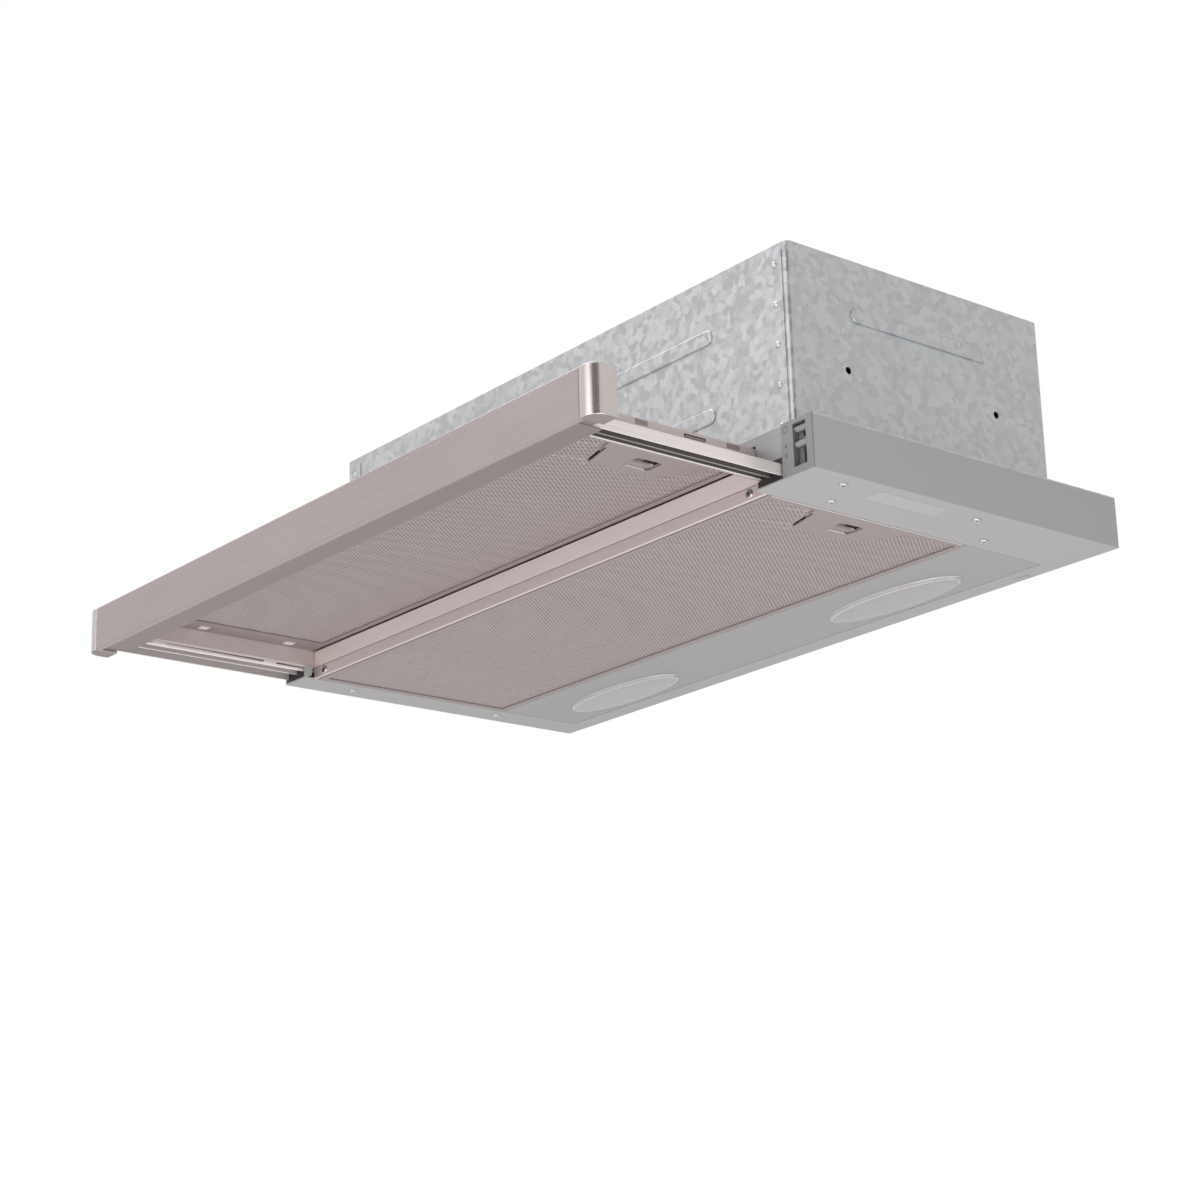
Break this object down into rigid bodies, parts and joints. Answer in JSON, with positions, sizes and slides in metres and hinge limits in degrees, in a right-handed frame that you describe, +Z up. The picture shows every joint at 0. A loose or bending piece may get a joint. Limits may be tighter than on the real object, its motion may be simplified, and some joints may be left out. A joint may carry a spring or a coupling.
{
  "type": "range_hood",
  "caption": "Slide-out kitchen range hood with a steel fascia on a pull-out filter tray, mesh grease filters, lamp lenses, slide switches and a duct collar on the fan casing.",
  "frame": {"origin": "middle of the rear edge of the deck face that meets the cabinet", "axes": "+X along the width to the right seen from the front, +Y to the wall, +Z up into the cabinet"},
  "size_m": [0.598, 0.454, 0.2105],
  "materials": {
    "body_paint": "satin light grey paint",
    "galvanised": "dull zinc-coated sheet",
    "stainless": "brushed along the length",
    "cap_plastic": "smooth silver grey",
    "bright_screw": "bright plated",
    "lens": "translucent, moulded",
    "socket_plastic": "off-white",
    "bulb_glass": "frosted",
    "black_plastic": "moulded",
    "knob_plastic": "moulded grey",
    "tray_steel": "satin light grey",
    "rail_steel": "bright rolled",
    "filter_aluminium": "anodised, matt",
    "mesh_aluminium": "expanded mesh, matt",
    "motor_steel": "dark painted"
  },
  "bodies": {
    "hood": {"bar_trim": "stainless", "bar_trim_screws": "bright_screw", "bottom_plate": "body_paint", "box_screws": "bright_screw", "cable_gland": "black_plastic", "capacitor": "socket_plastic", "casing_feet": "galvanised", "control_box": "black_plastic", "front_cross_bar": "stainless", "front_guide_left": "black_plastic", "front_guide_right": "black_plastic", "front_wall": "body_paint", "lamp_bulb_left": "bulb_glass", "lamp_bulb_right": "bulb_glass", "lamp_holder_left": "socket_plastic", "lamp_holder_right": "socket_plastic", "lamp_lens_left": "lens", "lamp_lens_right": "lens", "lamp_panel": "body_paint", "microswitch": "black_plastic", "motor": "motor_steel", "motor_box": "galvanised", "motor_bracket": "galvanised", "outlet_spigot": "black_plastic", "plate_screws": "bright_screw", "slide_channel_left": "galvanised", "slide_channel_right": "galvanised", "spigot_screws": "bright_screw", "switch_blocks": "black_plastic", "switch_plate": "body_paint", "terminal_box": "socket_plastic", "top_deck": "galvanised", "volute_left": "galvanised", "volute_right": "galvanised"},
    "tray": {"tray_cover": "tray_steel", "fascia": "stainless", "end_cap_left": "cap_plastic", "end_cap_right": "cap_plastic", "grip_strip": "stainless", "tray_rail_left": "rail_steel", "tray_rail_right": "rail_steel", "rear_pad_left": "black_plastic", "rear_pad_right": "black_plastic", "fascia_screws": "bright_screw"},
    "tray_filter": {"tray_filter_frame": "filter_aluminium", "tray_filter_mesh": "mesh_aluminium"},
    "tray_filter_catch": {"tray_latch": "filter_aluminium"},
    "body_filter": {"filter_frame": "filter_aluminium", "filter_mesh": "mesh_aluminium"},
    "body_filter_catch": {"filter_latch": "filter_aluminium"},
    "light_knob": {"light_slider": "knob_plastic"},
    "speed_knob": {"speed_slider": "knob_plastic"},
    "fan_wheel": {"impeller": "black_plastic", "fan_shaft": "motor_steel"},
    "front_flap": {"flap_front": "black_plastic"},
    "rear_flap": {"flap_rear": "black_plastic"},
    "stop_plunger": {"switch_plunger": "black_plastic"}
  },
  "joints": [
    {"name": "tray_slide", "type": "slide", "parent": "hood", "child": "tray", "axis": [0, 1, 0], "range_m": [0, 0.152]},
    {"name": "body_filter_drop", "type": "hinge", "parent": "hood", "child": "body_filter", "pos_m": [-0.2715, -0.18, -0.036], "axis": [0, 1, 0], "range_deg": [0, 30]},
    {"name": "tray_filter_drop", "type": "hinge", "parent": "tray", "child": "tray_filter", "pos_m": [-0.272, -0.35, -0.0137], "axis": [0, -1, 0], "range_deg": [-30, 0]},
    {"name": "body_filter_release", "type": "slide", "parent": "body_filter", "child": "body_filter_catch", "axis": [-1, 0, 0], "range_m": [0, 0.005], "stiffness_N_per_m": 300, "springref_m": -0.003},
    {"name": "tray_filter_release", "type": "slide", "parent": "tray_filter", "child": "tray_filter_catch", "axis": [-1, 0, 0], "range_m": [0, 0.005], "stiffness_N_per_m": 300, "springref_m": -0.003},
    {"name": "light_switch", "type": "slide", "parent": "hood", "child": "light_knob", "axis": [0, 0, -1], "range_m": [0, 0.003]},
    {"name": "speed_switch", "type": "slide", "parent": "hood", "child": "speed_knob", "axis": [0, 0, -1], "range_m": [0, 0.012]},
    {"name": "fan_spin", "type": "hinge", "parent": "hood", "child": "fan_wheel", "pos_m": [0, -0.158, 0.072], "axis": [1, 0, 0], "continuous": true},
    {"name": "front_flap_swing", "type": "hinge", "parent": "hood", "child": "front_flap", "pos_m": [0, -0.127, 0.15], "axis": [-1, 0, 0], "range_deg": [0, 75]},
    {"name": "rear_flap_swing", "type": "hinge", "parent": "hood", "child": "rear_flap", "pos_m": [0, -0.121, 0.15], "axis": [1, 0, 0], "range_deg": [0, 75]},
    {"name": "tray_stop_plunge", "type": "slide", "parent": "hood", "child": "stop_plunger", "axis": [0, 1, 0], "range_m": [0, 0.002], "stiffness_N_per_m": 150, "springref_m": -0.002}
  ]
}
